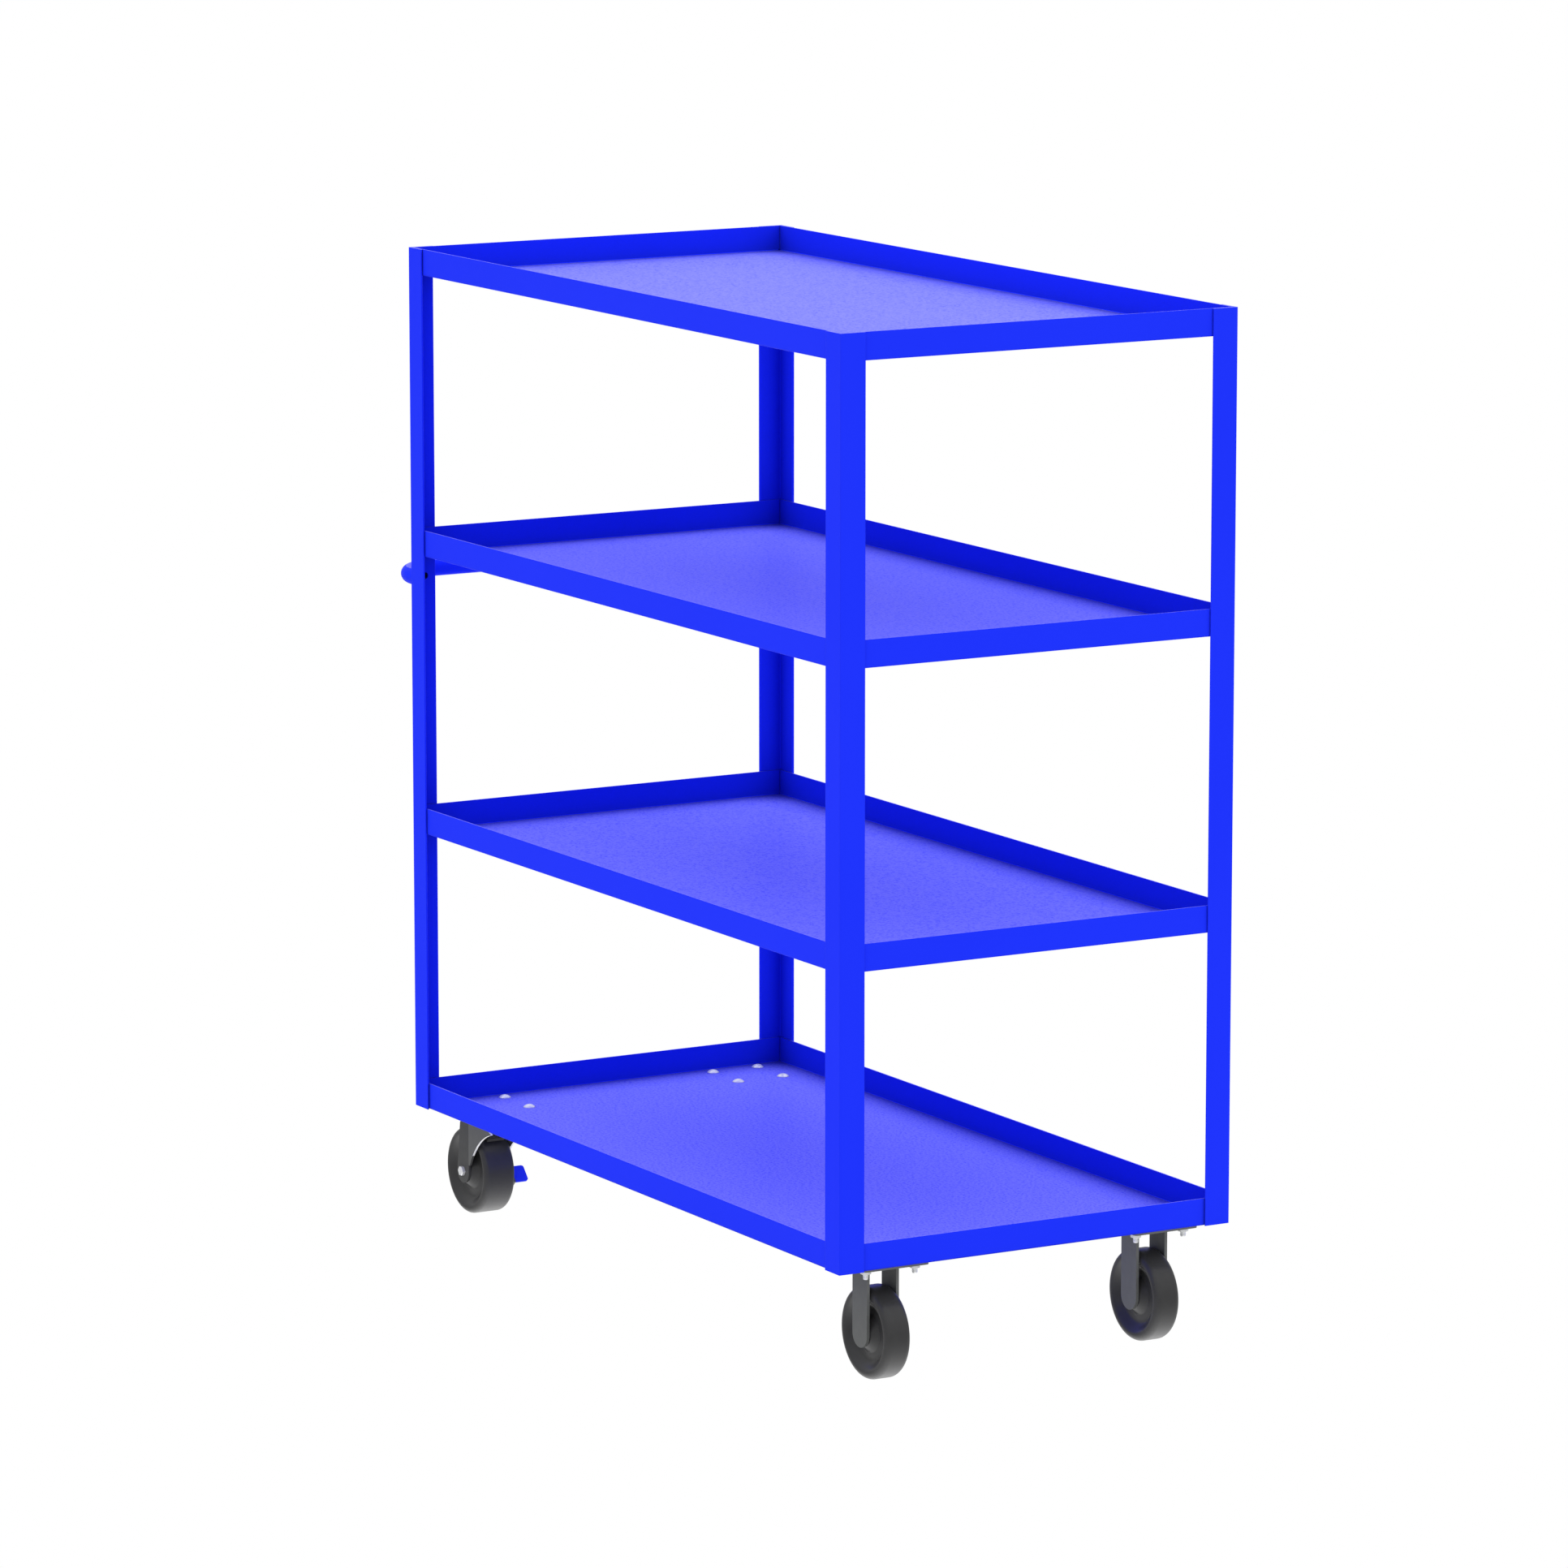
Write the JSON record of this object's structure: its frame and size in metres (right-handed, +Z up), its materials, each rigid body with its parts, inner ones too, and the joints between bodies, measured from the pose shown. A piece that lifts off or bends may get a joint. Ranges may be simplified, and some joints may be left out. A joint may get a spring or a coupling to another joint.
{
  "type": "four-shelf stock cart",
  "caption": "Welded sheet-steel stock cart: lipped tray shelves on angle posts, a tubular push handle at the rear, fixed wheels ahead and braked swivel wheels behind.",
  "frame": {"origin": "on the floor under the middle of the cart's whole outline, handle included", "axes": "+X the way the cart is pushed, away from the handle; +Y its left side; +Z up"},
  "size_m": [1.3316, 0.616, 1.4224],
  "materials": {
    "blue_paint": "semi-gloss powder coat",
    "bright_zinc": "bright zinc plate",
    "caster_steel": "dull zinc plate",
    "polished_steel": "ground and polished",
    "wheel_rubber": "moulded, soft sheen",
    "shoe_rubber": "moulded, dull"
  },
  "bodies": {
    "swivel_rear_left": {"axle_bolt_rear_left": "bright_zinc", "axle_sleeve_rear_left": "polished_steel", "brake_spring_rear_left": "polished_steel", "fork_rear_left": "caster_steel", "lock_nut_rear_left": "bright_zinc", "race_balls_rear_left": "polished_steel"},
    "swivel_rear_right": {"axle_bolt_rear_right": "bright_zinc", "axle_sleeve_rear_right": "polished_steel", "brake_spring_rear_right": "polished_steel", "fork_rear_right": "caster_steel", "lock_nut_rear_right": "bright_zinc", "race_balls_rear_right": "polished_steel"},
    "frame": {"axle_pin_front_left": "caster_steel", "axle_pin_front_right": "caster_steel", "axle_sleeve_front_left": "polished_steel", "axle_sleeve_front_right": "polished_steel", "bolt_nuts": "bright_zinc", "carriage_bolts": "bright_zinc", "caster_legs_front_left": "caster_steel", "caster_legs_front_right": "caster_steel", "caster_plate_front_left": "caster_steel", "caster_plate_front_right": "caster_steel", "caster_plate_rear_left": "caster_steel", "caster_plate_rear_right": "caster_steel", "kingpin_nut_rear_left": "bright_zinc", "kingpin_nut_rear_right": "bright_zinc", "kingpin_rear_left": "caster_steel", "kingpin_rear_right": "caster_steel", "post_front_left": "blue_paint", "post_front_right": "blue_paint", "post_rear_left": "blue_paint", "post_rear_right": "blue_paint", "push_handle": "blue_paint", "shelf_bottom": "blue_paint", "shelf_lower": "blue_paint", "shelf_top": "blue_paint", "shelf_upper": "blue_paint"},
    "wheel_front_left_body": {"bearing_front_left": "polished_steel", "wheel_front_left": "wheel_rubber"},
    "wheel_front_right_body": {"bearing_front_right": "polished_steel", "wheel_front_right": "wheel_rubber"},
    "wheel_rear_left_body": {"bearing_rear_left": "polished_steel", "wheel_rear_left": "wheel_rubber"},
    "wheel_rear_right_body": {"bearing_rear_right": "polished_steel", "wheel_rear_right": "wheel_rubber"},
    "brake_rear_left": {"brake_arm_rear_left": "caster_steel", "brake_lever_rear_left": "caster_steel", "brake_pedal_rear_left": "blue_paint", "brake_shaft_rear_left": "bright_zinc", "brake_shoe_rear_left": "shoe_rubber"},
    "brake_rear_right": {"brake_arm_rear_right": "caster_steel", "brake_lever_rear_right": "caster_steel", "brake_pedal_rear_right": "blue_paint", "brake_shaft_rear_right": "bright_zinc", "brake_shoe_rear_right": "shoe_rubber"}
  },
  "joints": [
    {"name": "wheel_front_right_spin", "type": "hinge", "parent": "frame", "child": "wheel_front_right_body", "pos_m": [0.60065, -0.2134, 0.0635], "axis": [0, 1, 0], "continuous": true},
    {"name": "swivel_rear_right_turn", "type": "hinge", "parent": "frame", "child": "swivel_rear_right", "pos_m": [-0.49465, -0.2134, 0.1651], "axis": [0, 0, 1], "continuous": true},
    {"name": "wheel_rear_right_spin", "type": "hinge", "parent": "swivel_rear_right", "child": "wheel_rear_right_body", "pos_m": [-0.53705, -0.2134, 0.0635], "axis": [0, 1, 0], "continuous": true},
    {"name": "brake_rear_right_press", "type": "hinge", "parent": "swivel_rear_right", "child": "brake_rear_right", "pos_m": [-0.52905, -0.2134, 0.1385], "axis": [0, 1, 0], "range_deg": [0, 5], "stiffness_Nm_per_rad": 0.6, "springref_deg": -20.05},
    {"name": "wheel_front_left_spin", "type": "hinge", "parent": "frame", "child": "wheel_front_left_body", "pos_m": [0.60065, 0.2134, 0.0635], "axis": [0, 1, 0], "continuous": true},
    {"name": "swivel_rear_left_turn", "type": "hinge", "parent": "frame", "child": "swivel_rear_left", "pos_m": [-0.49465, 0.2134, 0.1651], "axis": [0, 0, 1], "continuous": true},
    {"name": "wheel_rear_left_spin", "type": "hinge", "parent": "swivel_rear_left", "child": "wheel_rear_left_body", "pos_m": [-0.53705, 0.2134, 0.0635], "axis": [0, 1, 0], "continuous": true},
    {"name": "brake_rear_left_press", "type": "hinge", "parent": "swivel_rear_left", "child": "brake_rear_left", "pos_m": [-0.52905, 0.2134, 0.1385], "axis": [0, 1, 0], "range_deg": [0, 5], "stiffness_Nm_per_rad": 0.6, "springref_deg": -20.05}
  ]
}
